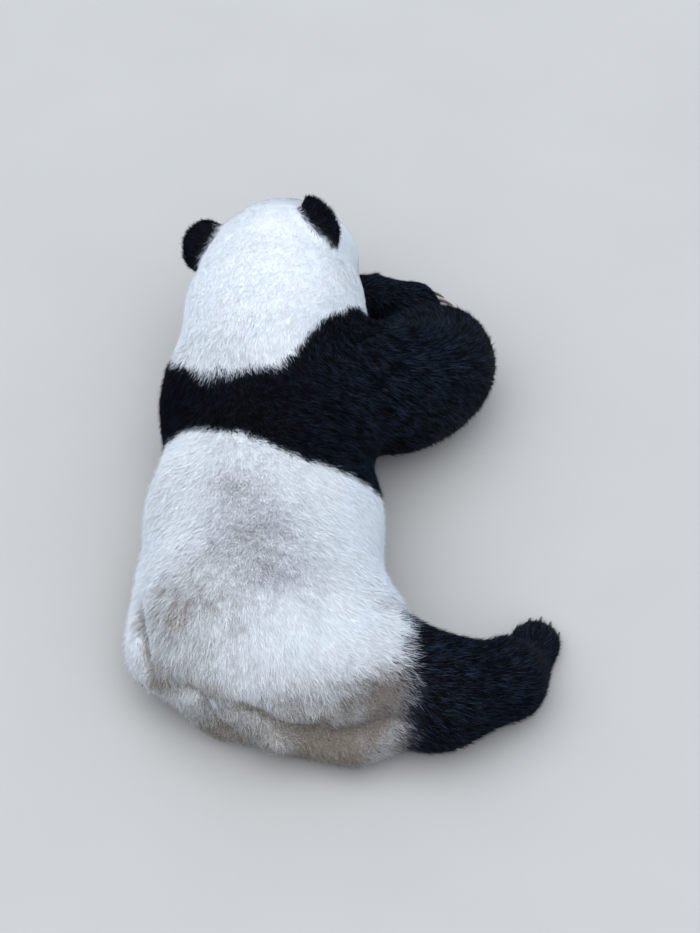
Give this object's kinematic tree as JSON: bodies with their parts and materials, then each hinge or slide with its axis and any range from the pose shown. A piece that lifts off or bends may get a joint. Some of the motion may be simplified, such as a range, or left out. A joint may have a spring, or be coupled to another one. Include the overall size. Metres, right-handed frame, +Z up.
{
  "type": "giant panda",
  "caption": "Life-size giant panda lying on its belly, chin on its forearm and one hind leg stretched out, as a still museum model.",
  "frame": {"origin": "middle of the animal's overall box, on the floor that it lies on", "axes": "+Y from rump to head, +X towards the animal's right side, +Z up"},
  "size_m": [0.8304, 1.3306, 0.4372],
  "materials": {
    "coat_white": "matt short dense fur, off-white with grey-brown dust on the back",
    "coat_black": "matt short dense fur, black with a faint blue-grey sheen",
    "eye": "wet gloss, dark brown",
    "nose": "moist pebbled skin",
    "claw": "satin horn"
  },
  "bodies": {
    "root": {"claw_forepaw_left_1": "claw", "claw_forepaw_left_2": "claw", "claw_forepaw_left_3": "claw", "claw_forepaw_left_4": "claw", "claw_forepaw_left_5": "claw", "claw_forepaw_right_1": "claw", "claw_forepaw_right_2": "claw", "claw_forepaw_right_3": "claw", "claw_forepaw_right_4": "claw", "claw_forepaw_right_5": "claw", "claw_hindpaw_left_1": "claw", "claw_hindpaw_left_2": "claw", "claw_hindpaw_left_3": "claw", "claw_hindpaw_left_4": "claw", "claw_hindpaw_left_5": "claw", "claw_hindpaw_right_1": "claw", "claw_hindpaw_right_2": "claw", "claw_hindpaw_right_3": "claw", "claw_hindpaw_right_4": "claw", "claw_hindpaw_right_5": "claw", "ear_left": "coat_black", "ear_right": "coat_black", "eye_left": "eye", "eye_right": "eye", "foreleg_left": "coat_black", "foreleg_right": "coat_black", "forepaw_left": "coat_black", "forepaw_right": "coat_black", "head": "coat_white", "hindleg_left": "coat_black", "hindleg_right": "coat_black", "hindpaw_left": "coat_black", "hindpaw_right": "coat_black", "neck": "coat_white", "nose": "nose", "tail": "coat_white", "trunk": "coat_white"}
  },
  "joints": []
}
